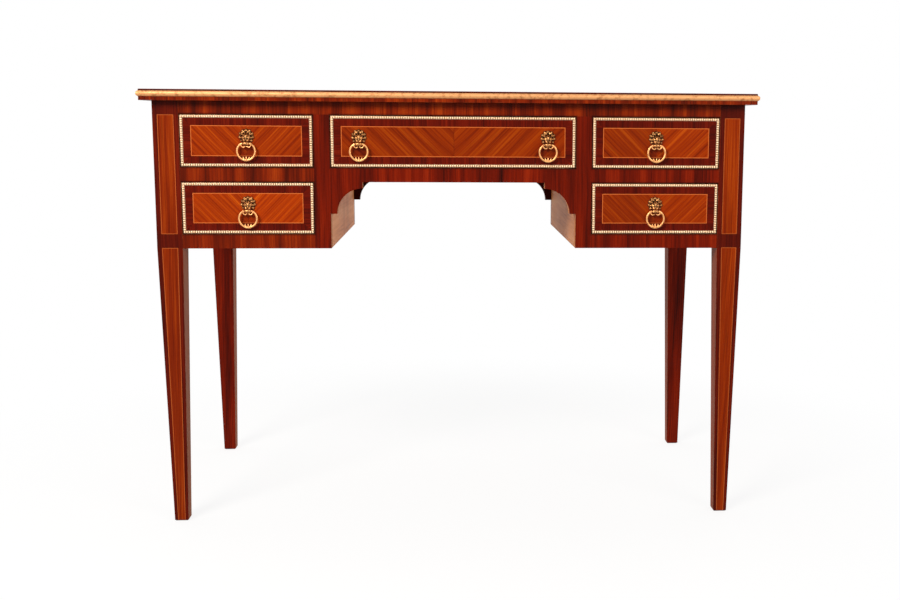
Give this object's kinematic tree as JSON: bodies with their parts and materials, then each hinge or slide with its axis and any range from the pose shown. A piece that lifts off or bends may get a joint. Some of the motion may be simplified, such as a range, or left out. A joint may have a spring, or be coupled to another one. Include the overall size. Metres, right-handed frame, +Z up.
{
  "type": "writing desk",
  "caption": "Veneered writing desk with bead-edged drawers on lion-mask ring pulls, a shaped kneehole and square tapering legs.",
  "frame": {"origin": "middle of the floor under the desk, between the four feet", "axes": "+X to the right along the front, +Y towards the back, +Z up"},
  "size_m": [1.067, 0.556, 0.765],
  "materials": {
    "veneered_wood": "polished",
    "plain_wood": "matte",
    "leather": "satin",
    "brass": "polished",
    "gilt_brass": "satin"
  },
  "bodies": {
    "frame": {"top_board": "veneered_wood", "writing_leather": "leather", "top_band": "brass", "front_left_leg": "veneered_wood", "front_right_leg": "veneered_wood", "rear_left_leg": "veneered_wood", "rear_right_leg": "veneered_wood", "top_rail": "veneered_wood", "front_apron": "veneered_wood", "rear_apron": "veneered_wood", "left_stile": "veneered_wood", "left_middle_rail": "veneered_wood", "left_bottom_rail": "veneered_wood", "left_end_panel": "veneered_wood", "left_back_panel": "veneered_wood", "left_knee_panel": "veneered_wood", "left_case_bottom": "plain_wood", "left_runners": "plain_wood", "right_stile": "veneered_wood", "right_middle_rail": "veneered_wood", "right_bottom_rail": "veneered_wood", "right_end_panel": "veneered_wood", "right_back_panel": "veneered_wood", "right_knee_panel": "veneered_wood", "right_case_bottom": "plain_wood", "right_runners": "plain_wood", "centre_runners": "plain_wood", "kickers": "plain_wood"},
    "upper_left_drawer": {"upper_left_front": "veneered_wood", "upper_left_box": "plain_wood", "upper_left_bottom": "plain_wood", "upper_left_beading": "gilt_brass", "upper_left_mask": "gilt_brass"},
    "lower_left_drawer": {"lower_left_front": "veneered_wood", "lower_left_box": "plain_wood", "lower_left_bottom": "plain_wood", "lower_left_beading": "gilt_brass", "lower_left_mask": "gilt_brass"},
    "centre_drawer": {"centre_front": "veneered_wood", "centre_box": "plain_wood", "centre_bottom": "plain_wood", "centre_beading": "gilt_brass", "centre_left_mask": "gilt_brass", "centre_right_mask": "gilt_brass"},
    "upper_right_drawer": {"upper_right_front": "veneered_wood", "upper_right_box": "plain_wood", "upper_right_bottom": "plain_wood", "upper_right_beading": "gilt_brass", "upper_right_mask": "gilt_brass"},
    "lower_right_drawer": {"lower_right_front": "veneered_wood", "lower_right_box": "plain_wood", "lower_right_bottom": "plain_wood", "lower_right_beading": "gilt_brass", "lower_right_mask": "gilt_brass"},
    "upper_left_ring_pull": {"upper_left_ring": "gilt_brass"},
    "lower_left_ring_pull": {"lower_left_ring": "gilt_brass"},
    "centre_left_ring_pull": {"centre_left_ring": "gilt_brass"},
    "centre_right_ring_pull": {"centre_right_ring": "gilt_brass"},
    "upper_right_ring_pull": {"upper_right_ring": "gilt_brass"},
    "lower_right_ring_pull": {"lower_right_ring": "gilt_brass"}
  },
  "joints": [
    {"name": "upper_left_drawer_slide", "type": "slide", "parent": "frame", "child": "upper_left_drawer", "axis": [0, -1, 0], "range_m": [0, 0.3]},
    {"name": "lower_left_drawer_slide", "type": "slide", "parent": "frame", "child": "lower_left_drawer", "axis": [0, -1, 0], "range_m": [0, 0.3]},
    {"name": "centre_drawer_slide", "type": "slide", "parent": "frame", "child": "centre_drawer", "axis": [0, -1, 0], "range_m": [0, 0.3]},
    {"name": "upper_right_drawer_slide", "type": "slide", "parent": "frame", "child": "upper_right_drawer", "axis": [0, -1, 0], "range_m": [0, 0.3]},
    {"name": "lower_right_drawer_slide", "type": "slide", "parent": "frame", "child": "lower_right_drawer", "axis": [0, -1, 0], "range_m": [0, 0.3]},
    {"name": "upper_left_ring_hinge", "type": "hinge", "parent": "upper_left_drawer", "child": "upper_left_ring_pull", "pos_m": [-0.3555, -0.263, 0.674], "axis": [-1, 0, 0], "range_deg": [0, 95]},
    {"name": "lower_left_ring_hinge", "type": "hinge", "parent": "lower_left_drawer", "child": "lower_left_ring_pull", "pos_m": [-0.3555, -0.263, 0.5585], "axis": [-1, 0, 0], "range_deg": [0, 95]},
    {"name": "centre_left_ring_hinge", "type": "hinge", "parent": "centre_drawer", "child": "centre_left_ring_pull", "pos_m": [-0.164, -0.263, 0.674], "axis": [-1, 0, 0], "range_deg": [0, 95]},
    {"name": "centre_right_ring_hinge", "type": "hinge", "parent": "centre_drawer", "child": "centre_right_ring_pull", "pos_m": [0.164, -0.263, 0.674], "axis": [-1, 0, 0], "range_deg": [0, 95]},
    {"name": "upper_right_ring_hinge", "type": "hinge", "parent": "upper_right_drawer", "child": "upper_right_ring_pull", "pos_m": [0.3555, -0.263, 0.674], "axis": [-1, 0, 0], "range_deg": [0, 95]},
    {"name": "lower_right_ring_hinge", "type": "hinge", "parent": "lower_right_drawer", "child": "lower_right_ring_pull", "pos_m": [0.3555, -0.263, 0.5585], "axis": [-1, 0, 0], "range_deg": [0, 95]}
  ]
}
